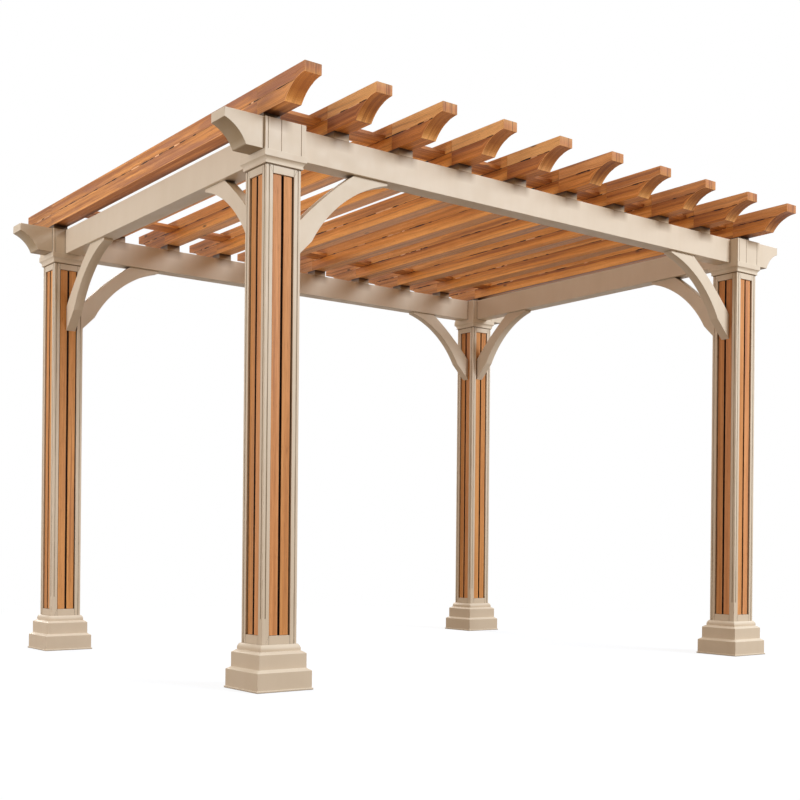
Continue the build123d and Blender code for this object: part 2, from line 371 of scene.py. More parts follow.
# %% Mix a timber
def timber_material(
    name, light, middle, dark, streak, streak_share,
    gloss=0.5, nook_shade_gain=0.9, knot=0.035, check=False, hollow_stops=None,
):
    """Oiled softwood whose grain runs along the second axis of the grain map.

    light, middle and dark are the tones of the bands. streak colours the streaks and the cloudy
    patches, and a larger streak_share gives more streaks. check adds the drying crack of an end
    face. hollow_stops paints light and shade on a cove by how far each part of it looks down.
    """
    material, tree, shader = new_material(name)
    grain = add_node(tree, "ShaderNodeUVMap", uv_map="grain").outputs["UV"]
    tone, crack, hue, mottle = (
        add_node(tree, "ShaderNodeAttribute", attribute_name=label).outputs["Fac"] for label in board_traits
    )
    # The grain wanders a little as it runs.
    wander = long_cloud(tree, grain, (2.0, 0.7, 1.0), 2.0, 0.5)
    drift = calculate_vector(tree, "MULTIPLY", wander, (grain_wander, 0.0, 0.0))
    bent = calculate_vector(tree, "ADD", grain, drift)
    # Bands of light and dark wood, which the tone of the board moves up or down.
    bands = remap(tree, long_cloud(tree, bent, (46.0, 0.7, 1.0), 4.0, 0.62), 0.32, 0.68, 0.16, 0.84)
    toned = remap(tree, calculate(tree, "ADD", bands, tone), 0.35, 1.55)
    colour = ramp(tree, toned, [(0.10, dark), (0.46, middle), (0.86, light)])
    # Streaks along the board, and the patches of a cloudy one.
    streaks = long_cloud(tree, bent, (40.0, 0.6, 1.0), 2.0, 0.5, (3.1, 7.7, 0.0))
    share = remap(tree, streaks, 0.62 - 0.25 * streak_share, 0.74 - 0.12 * streak_share, 0.0, 0.75)
    colour = cover(tree, colour, streak, share)
    patches = long_cloud(tree, bent, (16.0, 1.6, 1.0), 3.0, 0.6, (5.2, 2.4, 0.0), 0.3)
    patch = calculate(tree, "MULTIPLY", remap(tree, patches, 0.46, 0.62), mottle)
    colour = cover(tree, colour, streak, patch)
    colour = tint(tree, colour, ramp(tree, hue, hue_stops))
    # Growth lines, fibres, dark pores and knots.
    growth = {"Vector": stretch(tree, bent, (1.0, 0.012, 1.0)), "Scale": 44.0, "Distortion": 3.0}
    growth |= {"Detail": 2.0, "Detail Scale": 1.2}
    wave = {"wave_type": "BANDS", "bands_direction": "X", "wave_profile": "SAW"}
    rings = add_node(tree, "ShaderNodeTexWave", growth, **wave).outputs["Fac"]
    colour = tint(tree, colour, ramp(tree, rings, growth_stops), 0.85)
    fibres = long_cloud(tree, grain, (520.0, 9.0, 1.0), 2.0, 0.6)
    colour = tint(tree, colour, ramp(tree, fibres, fibre_stops), 0.9)
    pores = long_cloud(tree, grain, (240.0, 14.0, 1.0), 1.0, 0.5, (1.3, 0.4, 0.0))
    colour = tint(tree, colour, pore_tint, remap(tree, pores, 0.66, 0.74, 0.0, 0.55))
    spots = {"Vector": stretch(tree, bent, (7.0, 2.3, 1.0), (0.2, 0.9, 0.0)), "Scale": 1.0, "Randomness": 1.0}
    knots = add_node(tree, "ShaderNodeTexVoronoi", spots).outputs["Distance"]
    colour = cover(tree, colour, knot_colour, remap(tree, knots, 2.2 * knot, 0.8 * knot, 0.0, 0.85))
    if check:
        off = calculate(tree, "ABSOLUTE", calculate(tree, "SUBTRACT", part_of(tree, bent, "X"), check_place))
        colour = cover(tree, colour, check_colour, remap(tree, off, *check_edge, 0.0, 0.75))
    # Painted shade in the corners, pale arrises that are partly a painted highlight, painted light and shade
    # on a cove, then cracks and splinters over all, the cracks darkened partly by painted shade.
    nook_shade = remap(tree, openness(tree, 0.14, 8), 0.55, 0.06, 0.0, nook_shade_gain)
    colour = tint(tree, colour, timber_nook_shade, nook_shade)
    normal = add_node(tree, "ShaderNodeNewGeometry").outputs["Normal"]
    colour = cover(tree, colour, light, arris_mask(tree, normal, 0.005, 0.30))
    if hollow_stops:
        downward = remap(tree, part_of(tree, normal, "Z"), *cove_slope)
        colour = tint(tree, colour, ramp(tree, downward, hollow_stops))
    colour = cover(tree, colour, crack_shade, remap(tree, crack, 0.16, 0.45))
    colour = cover(tree, colour, fresh_splinter, remap(tree, crack, -0.20, -0.5, 0.0, 0.9))
    roughness = remap(tree, fibres, 0.2, 0.8, gloss + 0.12, gloss - 0.08)
    finish_surface(tree, shader, colour, roughness, calculate(tree, "SUBTRACT", fibres, rings), 0.35, 0.3)
    return material


# %% The timbers of the pergola
rafter_side = timber_material(
    "rafter_side", (0.84, 0.415, 0.130), (0.68, 0.275, 0.060), (0.34, 0.110, 0.021), (0.29, 0.105, 0.045),
    streak_share=0.35,
)
# The undersides of the rafters get a darker, greyer copy of the timber; its darkness is painted shade.
shaded_rafter_under = timber_material(
    "shaded_rafter_under", (0.64, 0.30, 0.11), (0.42, 0.175, 0.062), (0.18, 0.075, 0.035), (0.20, 0.105, 0.070),
    streak_share=0.45,
)
# Painted light and shade on a cove: lighter where it faces sideways, darker where it looks down.
cove_shading_stops = [
    (0.0, (1.40, 1.58, 1.8)),
    (0.30, (0.88, 0.80, 0.66)),
    (0.62, (0.66, 0.50, 0.31)),
    (1.0, (0.76, 0.60, 0.42)),
]
rafter_cove = timber_material(
    "rafter_cove", (0.76, 0.38, 0.13), (0.55, 0.240, 0.070), (0.28, 0.100, 0.025), (0.30, 0.11, 0.030),
    streak_share=0.5, hollow_stops=cove_shading_stops,
)
tail_under = timber_material(
    "tail_under", (0.84, 0.34, 0.060), (0.61, 0.22, 0.032), (0.31, 0.092, 0.012), (0.33, 0.100, 0.014),
    streak_share=0.5,
)
rafter_end = timber_material(
    "rafter_end", (0.68, 0.33, 0.110), (0.58, 0.26, 0.085), (0.36, 0.145, 0.048), (0.33, 0.13, 0.055),
    streak_share=0.5, gloss=0.62, nook_shade_gain=0.0, knot=0.01, check=True,
)
slat_wood = timber_material(
    "slat_wood", (0.86, 0.42, 0.145), (0.68, 0.30, 0.090), (0.48, 0.185, 0.050), (0.46, 0.19, 0.075),
    streak_share=0.15, knot=0.008,
)
# A near-black timber that stands for the shade in the gaps of the slats: painted shade.
gap_shade_wood = timber_material(
    "gap_shade_wood", (0.050, 0.017, 0.006), (0.034, 0.011, 0.004), (0.018, 0.006, 0.002), (0.02, 0.007, 0.003),
    streak_share=0.2, gloss=0.7,
)
print("timber: 7 materials")

# %% [markdown]
# ## Gathering boards into meshes
# A rafter or the slats of a post are many boards, but one piece. The heap below collects corners,
# faces, grain positions, traits and finishes from every board, and turns them into one mesh at the
# end. That is quicker than joining dozens of objects, and each board can still differ.

# %% The heap of boards
def new_piece(name, mesh):
    """An object for a new mesh that rides on the frame."""
    piece = bpy.data.objects.new(name, mesh)
    bpy.context.scene.collection.objects.link(piece)
    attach(piece, "root")
    return piece


class Heap:
    """Corners and faces of several boards that become one mesh."""

    def __init__(self, finishes):
        self.finishes = finishes
        self.points = []
        self.traits = []
        self.faces = []
        self.grain = []
        self.finish = []

    def add_point(self, point, traits):
        """Adds a corner and returns its number."""
        self.points.append(tuple(point))
        self.traits.append(traits)
        return len(self.points) - 1

    def add_face(self, corners, grain, finish):
        """Adds a face with the grain position of each corner."""
        self.faces.append(corners)
        self.grain.append(grain)
        self.finish.append(self.finishes.index(finish))

    def make(self, name):
        """Turns the heap into a piece."""
        mesh = bpy.data.meshes.new(name)
        mesh.from_pydata(self.points, [], self.faces)
        layer = mesh.uv_layers.new(name="grain")
        layer.data.foreach_set("uv", [value for face in self.grain for spot in face for value in spot])
        for label, values in zip(board_traits, zip(*self.traits)):
            attribute = mesh.attributes.new(label, "FLOAT", "POINT")
            attribute.data.foreach_set("value", values)
        mesh.polygons.foreach_set("material_index", self.finish)
        for material in self.finishes:
            mesh.materials.append(material)
        mesh.validate()
        mesh.update()
        print(name, len(mesh.polygons), "faces")
        return new_piece(name, mesh)


# %% [markdown]
# ## A board as a chain of rings
# A board is drawn as a ring of twelve points, a rectangle with each corner eased by three points,
# repeated at many stations along its length. Changing a ring a little at each station gives the
# wander of a real edge, and lets a corner widen suddenly into a chip. A Look holds the traits of a
# board: the tones of its low and its high half, its hue, how mottled it is and where its grain
# starts, and then the same for a cove cut into its low side, which shows other wood.

# %% Rings and boards
Look = namedtuple(
    "Look",
    "low high hue mottle shift cove_tone cove_hue cove_shift",
    defaults=(0.5, 0.5, (0.0, 0.0)),
)
plain_look = Look(0.5, 0.5, 0.5, 0.0, (0.0, 0.0))
ring_sides = ["low"] * 3 + ["right"] * 3 + ["high"] * 3 + ["left"] * 3
cove_points = range(1, 5)
soft_crack = 0.15
grain_spread = 40


def grain_start(dice):
    """A place in the grain for one board."""
    return (dice.uniform(0, grain_spread), dice.uniform(0, grain_spread))


def even_ease(size):
    """The same small easing, without a crack, at all four corners of a ring."""
    return [(size, size, 0.0)] * 4


def ring(low, high, ease):
    """Twelve (across, up, crack) points of a rectangle; ease gives (depth, rise, crack) at each corner.

    The corners go low left, low right, high right, high left.
    """
    signs = [(1, 1), (-1, 1), (-1, -1), (1, -1)]
    corners = [(low[0], low[1]), (high[0], low[1]), (high[0], high[1]), (low[0], high[1])]
    points = []
    for number, (corner, sign, (depth, rise, crack)) in enumerate(zip(corners, signs, ease)):
        up = (corner[0], corner[1] + sign[1] * rise, soft_crack * crack)
        across = (corner[0] + sign[0] * depth, corner[1], crack)
        middle = (corner[0] + sign[0] * depth * 0.3, corner[1] + sign[1] * rise * 0.3, crack)
        points += [up, middle, across] if number % 2 == 0 else [across, middle, up]
    return points


def add_board(heap, rings, stations, place, look, finish_of, end_finish, paths=None, hollow=None):
    """Adds a board: rings of (across, up, crack), the stations along it, and place() for its frame.

    finish_of(side, station) names the finish of a face. paths replaces the stations in the grain of
    the low side, and hollow says at which stations the low side belongs to a cove.
    """
    count = len(ring_sides)
    rows = []
    for number, (points, along) in enumerate(zip(rings, stations)):
        row = []
        for k, (across, up, crack) in enumerate(points):
            traits = (look.low if k < count // 2 else look.high, crack, look.hue, look.mottle)
            if hollow and hollow[number] and k in cove_points:
                traits = (look.cove_tone, crack, look.cove_hue, 0.0)
            row.append(heap.add_point(place(across, along, up), traits))
        rows.append(row)
    girth = [0.0]
    sample = rings[len(rings) // 2]
    for first, second in zip(sample, sample[1:] + sample[:1]):
        girth.append(girth[-1] + math.dist(first[:2], second[:2]))
    for number in range(len(rings) - 1):
        for k, side in enumerate(ring_sides):
            after = (k + 1) % count
            ends = (number, number + 1)
            run = [paths[n] if paths and side == "low" else stations[n] for n in ends]
            in_cove = hollow and side == "low" and (hollow[number] or hollow[number + 1])
            shift = look.cove_shift if in_cove else look.shift
            corners = (rows[number][k], rows[number + 1][k], rows[number + 1][after], rows[number][after])
            spots = ((girth[k], run[0]), (girth[k], run[1]), (girth[k + 1], run[1]), (girth[k + 1], run[0]))
            grain = [(across + shift[0], along + shift[1]) for across, along in spots]
            heap.add_face(corners, grain, finish_of(side, number))
    for number, order in ((0, 1), (len(rings) - 1, -1)):
        corners = rows[number][::order]
        grain = [(point[0], point[1] + look.shift[1]) for point in rings[number][::order]]
        heap.add_face(corners, grain, end_finish)


def steps(start, end, longest):
    """Evenly spaced values from start to end, no further apart than longest."""
    count = max(1, math.ceil(abs(end - start) / longest))
    return [start + (end - start) * n / count for n in range(count + 1)]


# %% [markdown]
# ## The rafters
# Each rafter is two boards, one on the other, and its tails are cut to a hollow quarter circle.
# The glue line between the boards has opened with the weather: a fine dark line with chips broken
# out of both edges. The tails are separate lengths, spliced on just inside the beam, so the tone
# changes at a fine upright seam. The hollow is a chain of rings whose lower side follows the arc,
# and there the grain map follows the arc too, so the grain lines run down the curve.

# %% Sizes of a rafter
tail_nose = 0.050
tail_reach = 0.165
tail_hollow = 0.0225
glue_line = 0.073
seam_inset = 0.008
seam_gap = 0.0012
board_ease = 0.0022
station_gap = 0.008
arc_steps = 14
hair = 1e-5
tight_reach = 0.010
tight_ease = 0.0001
chip_every = 0.100
chip_length = (0.025, 0.140)
chip_rise = (0.0022, 0.0048)
chip_depth = (0.0020, 0.0050)
crack_rise = (0.0010, 0.0014)
crack_darkness = (0.55, 0.75)
fresh_share = 0.22
seam_place = abs(post_centre["front_left"].y) - seam_inset
print("seams", round(seam_place, 4), "m from the middle")

# %% [markdown]
# The hollow is an arc through two known points, the root on the underside and the nose at the tip,
# and tail_hollow says how deep it lies under the straight line between them. That is enough to
# find its centre, and the angles at which it meets the nose, the glue line and the underside.

# %% The arc of a tail
tail_drop = box_size(rafter_names[0]).z - tail_nose
tail_chord = math.hypot(tail_reach, tail_drop)
tail_radius = tail_chord ** 2 / (8 * tail_hollow) + tail_hollow / 2
swing = (tail_radius - tail_hollow) / tail_chord
arc_centre = (tail_reach / 2 - tail_drop * swing, tail_drop / 2 - tail_reach * swing)
arc_nose = math.asin(-arc_centre[0] / tail_radius)
arc_root = math.asin((tail_reach - arc_centre[0]) / tail_radius)
arc_glue = math.acos((glue_line - arc_centre[1]) / tail_radius)
print("tail radius", round(tail_radius, 4), "from", round(math.degrees(arc_root), 1), "degrees to level")


def arc_row(angle, facing, tip):
    """A point of the hollow: where it lies along the rafter, and how high over the underside."""
    inward = arc_centre[0] + tail_radius * math.sin(angle)
    return facing * (tip - inward), arc_centre[1] + tail_radius * math.cos(angle)


def tail_outline(tip, facing, upper):
    """Stations of a tail board from the seam to its end: (along, height of its underside, path)."""
    floor = glue_line if upper else 0.0
    first, last = (arc_glue, arc_nose) if upper else (arc_root, arc_glue)
    straight_end = abs(arc_row(first, 1, tip)[0])
    rows = [(facing * a, floor, a) for a in steps(seam_place + seam_gap / 2, straight_end, station_gap)[:-1]]
    for step in range(arc_steps + 1):
        angle = first + (last - first) * step / arc_steps
        along, height = arc_row(angle, facing, tip)
        rows.append((along, height, tip - tail_reach + tail_radius * (arc_root - angle)))
    return rows


# %% Chips along the glue line
def draw_chips(start, end, dice):
    """The chips of one glue line: (middle, length, rise, depth, sign), sign -1 for a fresh splinter."""
    chips = []
    along = start
    while along < end:
        along += dice.expovariate(1.0 / chip_every)
        sign = -1 if dice.random() < fresh_share else 1
        length, rise, depth = (dice.uniform(*limits) for limits in (chip_length, chip_rise, chip_depth))
        chips.append((along, length, rise, depth, sign))
    return chips


def glue_edge(stations, chips, dice):
    """For each station, how far the glue line has opened: (depth, rise, crack)."""
    edge = []
    for value in stations:
        rise = dice.uniform(*crack_rise)
        depth = rise * 1.4
        crack = dice.uniform(*crack_darkness)
        for middle, length, chip_up, chip_in, sign in chips:
            reach = abs(value - middle) / (length / 2)
            if reach < 1.0:
                shape = 1.0 - reach ** 4
                rise = max(rise, chip_up * shape)
                depth = max(depth, chip_in * shape)
                crack = sign * max(abs(crack), 0.3 + 0.7 * shape)
        edge.append((depth, rise, crack))
    return edge


def rafter_rings(rows, half, top, base, upper, chips, dice):
    """Rings for one board of a rafter, with its glue edge chipped on both sides.

    Beside the hollow the two boards fit tight, so the hollow runs over the glue line unbroken.
    """
    stations = [row[0] for row in rows]
    left, right = (glue_edge(stations, side, dice) for side in chips)
    floor = glue_line if upper else 0.0
    carved = [abs(along) for along, height, _ in rows if height > floor + hair]
    tight_from = math.inf
    if carved:
        tight_from = min(carved) if upper else max(abs(along) for along in stations)
    rings = []
    for number, (along, height, _) in enumerate(rows):
        ease = min(board_ease, 0.3 * ((top if upper else glue_line) - height))
        plain = [(ease, ease, 0.0)] * 2
        glued = plain
        if height <= floor + hair:
            glued = [left[number], right[number]]
            if abs(along) > tight_from - tight_reach:
                glued = [(tight_ease, tight_ease, 0.0)] * 2
        low, high = (glued, plain) if upper else (plain, glued)
        corners = (-half, base + height), (half, base + (top if upper else glue_line))
        rings.append(ring(*corners, [low[0], low[1], high[1], high[0]]))
    return rings, stations


# %% [markdown]
# The boards of the roof differ in tone. The tails at the front are pale above and reddish
# below, the long middle boards are deep orange with a pale lower arris, the back tails are pinkish,
# and the outer left rafter is cloudy. The table gives (low tone, high tone, hue, mottle), first for
# the upper board and then for the lower one.

# %% Looks of the boards
board_looks = {
    "outer": ((0.22, 0.18, 0.95, 0.75), (0.27, 0.17, 0.97, 0.70)),
    "left tail": ((0.84, 0.90, 0.95, 0.05), (0.26, 0.02, 0.50, 0.30)),
    "right tail": ((0.66, 0.74, 0.75, 0.10), (0.46, 0.24, 0.45, 0.20)),
    "back tail": ((0.45, 0.50, 0.75, 0.30), (0.55, 0.45, 0.85, 0.30)),
    "middle": ((0.62, 0.50, 0.35, 0.20), (0.96, 0.10, 0.25, 0.20)),
}
first_right_tail = 5
tone_spread = 0.10
cove_tones = (0.50, 0.75)
cove_hues = (0.25, 0.50)


def rafter_look(number, upper, facing, dice, cove):
    """The look of one board of a rafter; facing is -1 at the front, 1 at the back, 0 between."""
    shift = grain_start(dice)
    spread = dice.uniform(-tone_spread, tone_spread)
    if number == 0:
        kind = "outer"
    elif facing == 0:
        kind = "middle"
    elif facing > 0:
        kind = "back tail"
    else:
        kind = "left tail" if number < first_right_tail else "right tail"
    low, high, hue, mottle = board_looks[kind][0 if upper else 1]
    return Look(low + spread, high + spread, hue, mottle, shift, *cove)


# %% Build the rafters
def build_rafter(name, number):
    """Both boards of a rafter, each in three lengths."""
    dice = random.Random(500 + number)
    low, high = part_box(name)
    half = (high.x - low.x) / 2
    centre = (high.x + low.x) / 2
    tip = high.y
    heap = Heap([rafter_side, shaded_rafter_under, rafter_cove, tail_under, rafter_end])

    def place(across, along, up):
        return (centre + across, along, up)

    chips = [draw_chips(-tip, tip, dice) for _ in range(2)]
    for facing in (-1, 0, 1):
        cove = (dice.uniform(*cove_tones), dice.uniform(*cove_hues), grain_start(dice))
        for upper in (True, False):
            floor = glue_line if upper else 0.0
            if facing == 0:
                end = seam_place - seam_gap / 2
                rows = [(along, floor, along) for along in steps(-end, end, station_gap)]
            else:
                rows = tail_outline(tip, facing, upper)
            if facing < 0:
                rows = rows[::-1]
            rings, stations = rafter_rings(rows, half, high.z - low.z, low.z, upper, chips, dice)
            paths = [facing * row[2] if facing else row[2] for row in rows]
            carved = [False, *(row[1] > floor + hair for row in rows), False]
            hollow = [any(carved[n:n + 3]) for n in range(len(rows))]

            def finish_of(side, station, facing=facing, hollow=hollow):
                if side != "low":
                    return rafter_side
                if number == 0 or (facing and hollow[station]):
                    return rafter_cove
                return tail_under if facing else shaded_rafter_under

            look = rafter_look(number, upper, facing, dice, cove)
            add_board(heap, rings, stations, place, look, finish_of, rafter_end, paths, hollow)
    piece = heap.make(name + "_boards")
    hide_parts(name)
    return piece


rafters = [build_rafter(name, number) for number, name in enumerate(rafter_names)]

# %% [markdown]
# ## The post casings
# A casing is a box of boards round the post: a strip on each corner, and on each face a frame of
# two stiles and two rails round a sunk panel. Modelled as single boards with hair-wide joints, the
# frame shows its mitres as real gaps, which a flat box with painted lines would not.

# %% Sizes of a casing
slat_end_gap = 0.0015
slat_low, slat_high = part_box("front_left_slats")
panel_half = 0.058
panel_low = slat_low.z - slat_end_gap
panel_high = slat_high.z + slat_end_gap
panel_sink = 0.022
strip_width = 0.013
strip_ease = 0.002
groove_width = 0.006
groove_depth = 0.003
groove_stop = 0.338
groove_lap = 0.001
foot_sink = 0.0004
joint_gap = 0.0012
casing_ease = 0.0013
mitre_drop = 0.004
skirt_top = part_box("front_left_skirt")[1].z
cap_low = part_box("front_left_capital")[0].z
print("panel from", panel_low, "to", panel_high, "m; mitres reach up to", round(cap_low, 3))


# %% Cut flat boards from an outline
def pour(part, whole):
    """Moves the faces of one bmesh into another."""
    store = bpy.data.meshes.new("part")
    part.to_mesh(store)
    part.free()
    whole.from_mesh(store)
    bpy.data.meshes.remove(store)


def outline_board(parent, outline, back, front, ease, finish=0):
    """Adds a flat board to a bmesh: an outline in (across, up), between two depths, edges eased."""
    board = bmesh.new()
    face = board.faces.new([board.verts.new((across, -front, up)) for across, up in outline])
    moved = bmesh.ops.extrude_face_region(board, geom=[face])
    far = [item for item in moved["geom"] if isinstance(item, bmesh.types.BMVert)]
    bmesh.ops.translate(board, verts=far, vec=(0.0, front - back, 0.0))
    bmesh.ops.recalc_face_normals(board, faces=board.faces)
    if ease:
        bmesh.ops.bevel(board, geom=board.edges[:], offset=ease, segments=2, profile=0.6, affect="EDGES")
    for face in board.faces:
        face.material_index = finish
    pour(board, parent)


def rectangle(left, right, low, high):
    """The outline of an upright rectangle."""
    return [(left, low), (right, low), (right, high), (left, high)]


def casing_face(mesh):
    """The boards of one face of a casing, drawn facing the front, with the post centre at the origin.

    The stiles are mitred at the top on both sides and at the foot on the left, and a short
    piece fills each corner above the mitre.
    """
    half = post_width / 2
    stile_out = half - strip_width - groove_width
    sunk = half - panel_sink
    cap_line = cap_low - mitre_drop

    def board(outline):
        outline_board(mesh, outline, sunk, half, casing_ease)

    for hand in (-1, 1):
        inner = hand * panel_half
        outer = hand * stile_out
        foot = [(outer, 0.0), (inner, 0.0)]
        if hand < 0:
            foot = [(outer, skirt_top + joint_gap), (inner, panel_low)]
            board([(outer, 0.0), (inner, 0.0), (inner, panel_low - joint_gap), (outer, skirt_top)])
        board(foot + [(inner, panel_high), (outer, cap_line)])
        head_in, head_out = panel_high + joint_gap, cap_line + joint_gap
        board([(inner, head_in), (inner, post_top), (outer, post_top), (outer, head_out)])
    rail_half = panel_half - joint_gap
    for low, high in [(0.0, panel_low), (panel_high, post_top)]:
        board(rectangle(-rail_half, rail_half, low, high))


def casing_corner(mesh, stopped):
    """The corner strip at the front left corner and the bar behind its two grooves, which carries their
    painted shade.
    """
    half = post_width / 2
    strip = rectangle(-half, -half + strip_width, 0.0, post_top)
    outline_board(mesh, strip, half - strip_width, half, strip_ease)
    floor = half - groove_depth
    inner = half - strip_width - groove_width - groove_lap
    start = groove_stop if stopped else skirt_top
    outline_board(mesh, rectangle(-floor, -inner, start, post_top), inner, floor, 0.0, finish=1)
    flush = half - foot_sink
    outline_board(mesh, rectangle(-flush, -inner, 0.0, start), inner, flush, 0.0)


def build_casing(corner):
    """All the boards of one post casing."""
    mesh = bmesh.new()
    for turn in range(4):
        side = bmesh.new()
        casing_face(side)
        casing_corner(side, stopped=turn == 0)
        bmesh.ops.rotate(side, verts=side.verts[:], matrix=Matrix.Rotation(turn * math.pi / 2, 3, "Z"))
        pour(side, mesh)
    centre = post_centre[corner]
    bmesh.ops.translate(mesh, verts=mesh.verts[:], vec=(centre.x, centre.y, 0.0))
    data = bpy.data.meshes.new(corner + "_casing")
    mesh.to_mesh(data)
    mesh.free()
    data.materials.append(cream_paint)
    data.materials.append(groove_shade_paint)
    piece = new_piece(corner + "_casing", data)
    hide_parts(corner + "_post")
    return piece


# %% [markdown]
# Two dark pieces of painted shade give the casing its depth. A near-black box stands behind the slats
# and shows only through the gaps as their shade. A thin square hoop under the cap moulding draws the
# shadow of the open joint.

# %% Dark pieces of a casing
backing_proud = 0.0005
backing_ease = 0.001
backing_lap = 0.02
hoop_height = 0.0055
hoop_proud = 0.0006
hoop_depth = 0.002
hoop_ease = 0.0002


def build_backing(corner):
    """The near-black box behind the slats, a painted shade that shows only through the gaps."""
    half = post_width / 2 - panel_sink + backing_proud
    heap = Heap([gap_shade_wood])
    centre = post_centre[corner]
    stations = [panel_low - backing_lap, panel_high + backing_lap]
    rings = [ring((-half, -half), (half, half), even_ease(backing_ease))] * 2

    def place(across, along, up):
        return (centre.x + across, centre.y + up, along)

    add_board(heap, rings, stations, place, plain_look, lambda side, station: gap_shade_wood, gap_shade_wood)
    return heap.make(corner + "_backing")


def build_shadow_gap(corner):
    """The painted shadow of the open joint between the casing and the cap moulding: a thin dark hoop under
    the cap.
    """
    heap = Heap([joint_shadow_paint])
    centre = post_centre[corner]
    half = post_width / 2
    out = half + hoop_proud
    low, high = (-out, cap_low - hoop_height), (-half + hoop_depth, cap_low)
    rings = [ring(low, high, even_ease(hoop_ease))] * 2
    for turn in range(4):
        spin = Matrix.Rotation(turn * math.pi / 2, 3, "Z")

        def place(across, along, up, spin=spin):
            spot = spin @ Vector((along, across, up))
            return (centre.x + spot.x, centre.y + spot.y, spot.z)

        add_board(heap, rings, [-out, out], place, plain_look, lambda side, station: joint_shadow_paint, joint_shadow_paint)
    return heap.make(corner + "_shadow_gap")


for build in (build_shadow_gap, build_casing, build_backing):
    pieces = [build(corner) for corner in corner_names]
    print(len(pieces), "pieces like", pieces[0].name)

# %% [markdown]
# ## The slats
# Two upright slats fill each panel, with a dark gap between them and finer ones at the sides. Real
# slats are never quite straight, so the edge of each wanders by half a millimetre along its height.
# Their edges get the near-black of the gaps, a painted shade.

# %% Build the slats
slat_thickness = 0.013
slat_middle_gap = 0.012
slat_side_gap = 0.0055
slat_ease = 0.0016
slat_wander = 0.0007
slat_station_gap = 0.045
slat_wander_pace = 3.0
slat_tones = (0.45, 0.85)
slat_hues = (0.25, 0.55)
slat_mottle = 0.15


def slat_finish(side, station):
    """The painted shade of the gaps on the two edges, plain wood on the face."""
    return gap_shade_wood if side in ("left", "right") else slat_wood


def build_slats(corner, number):
    """The eight slats of one post."""
    dice = random.Random(900 + number)
    heap = Heap([slat_wood, rafter_end, gap_shade_wood])
    centre = post_centre[corner]
    width = (2 * panel_half - slat_middle_gap - 2 * slat_side_gap) / 2
    back = post_width / 2 - panel_sink
    front = back + slat_thickness
    stations = steps(panel_low + slat_end_gap, panel_high - slat_end_gap, slat_station_gap)
    for turn in range(4):
        spin = Matrix.Rotation(turn * math.pi / 2, 3, "Z")
        for hand in (-1, 1):
            middle = hand * (width + slat_middle_gap) / 2
            seed = dice.uniform(0, 90)
            rings = []
            for along in stations:
                left = noise.noise((seed, along * slat_wander_pace, 0.0)) * slat_wander
                right = noise.noise((seed, along * slat_wander_pace, 9.0)) * slat_wander
                low, high = (-width / 2 + left, -front), (width / 2 + right, -back)
                rings.append(ring(low, high, even_ease(slat_ease)))

            def place(across, along, up, spin=spin, middle=middle):
                spot = spin @ Vector((across + middle, up, along))
                return (centre.x + spot.x, centre.y + spot.y, spot.z)

            tone = dice.uniform(*slat_tones)
            look = Look(tone, tone, dice.uniform(*slat_hues), slat_mottle, grain_start(dice))
            add_board(heap, rings, stations, place, look, slat_finish, rafter_end)
    piece = heap.make(corner + "_slat_boards")
    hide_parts(corner + "_slats")


for number, corner in enumerate(corner_names):
    build_slats(corner, number)

# %% [markdown]
# ## The boards between the rafters
# Short flat boards tie the rafters together just inside the two long beams.

# %% Build the blocking
blocking_depth = 0.140
blocking_ease = 0.0015
blocking_station_gap = 0.1
blocking_tones = (0.10, 0.35)
blocking_hue = 0.42
blocking_mottle = 0.5


def build_blocking():
    """A short board in every bay, at the front and at the back."""
    dice = random.Random(77)
    heap = Heap([rafter_side, rafter_end])
    low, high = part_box("rafter_blocking")
    half = blocking_depth / 2
    half_rafter = box_size(rafter_names[0]).x / 2
    for before, after in zip(rafter_names, rafter_names[1:]):
        start, end = box_centre(before).x + half_rafter, box_centre(after).x - half_rafter
        stations = steps(start, end, blocking_station_gap)
        rings = [ring((-half, low.z), (half, high.z), even_ease(blocking_ease))] * len(stations)
        for middle in (low.y + half, high.y - half):

            def place(across, along, up, middle=middle):
                return (along, middle - across, up)

            tone = dice.uniform(*blocking_tones)
            look = Look(tone, tone + 0.1, blocking_hue, blocking_mottle, grain_start(dice))
            add_board(heap, rings, stations, place, look, lambda side, station: rafter_side, rafter_end)
    piece = heap.make("rafter_blocking_boards")
    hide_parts("rafter_blocking")
    return piece


blocking = build_blocking()

# %% [markdown]
# ## The painted pieces that stay
# Skirts, capitals, brackets, braces, beams and rafter seats already have their real shape. What
# they lack is the eased arris that catches the light, so each gets a Weld and a small Bevel
# modifier, which leave the solid itself as it is, and the cream paint.

# %% Ease and paint the solids
painted_ease = 0.0022
painted_words = ("_skirt", "_capital", "_bracket", "_brace", "_beam", "_seats")
weld_reach = 0.00005
sharp_angle = math.radians(32)


def paint_for(name):
    """The paint of a solid: plain, with a painted shade underneath, with a painted shade on the seats, or
    with painted rafter shadows.
    """
    if name.endswith("_seats"):
        return seat_paint
    if name.endswith("_bracket"):
        return bracket_paint
    if name.endswith("_capital") or name in ("front_beam", "back_beam"):
        return stained_paint
    return cream_paint


painted = [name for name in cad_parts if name.endswith(painted_words)]
for name in painted:
    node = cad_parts[name]
    node.data.materials.clear()
    node.data.materials.append(paint_for(name))
    weld = node.modifiers.new("weld", "WELD")
    weld.merge_threshold = weld_reach
    bevel = node.modifiers.new("ease", "BEVEL")
    bevel.width = painted_ease
    bevel.segments = 2
    bevel.limit_method = "ANGLE"
    bevel.angle_limit = sharp_angle
print(len(painted), "painted solids")

# %% [markdown]
# ## Floor and backdrop
# The pergola stands on a plain white floor that runs into a white background. Rays from the camera
# see white; rays that light the object see a softer, warmer floor, so the undersides stay as deep
# as they are under a real roof. The floor keeps the soft shadow at the feet, and further out it
# glows evenly, so no horizon shows.

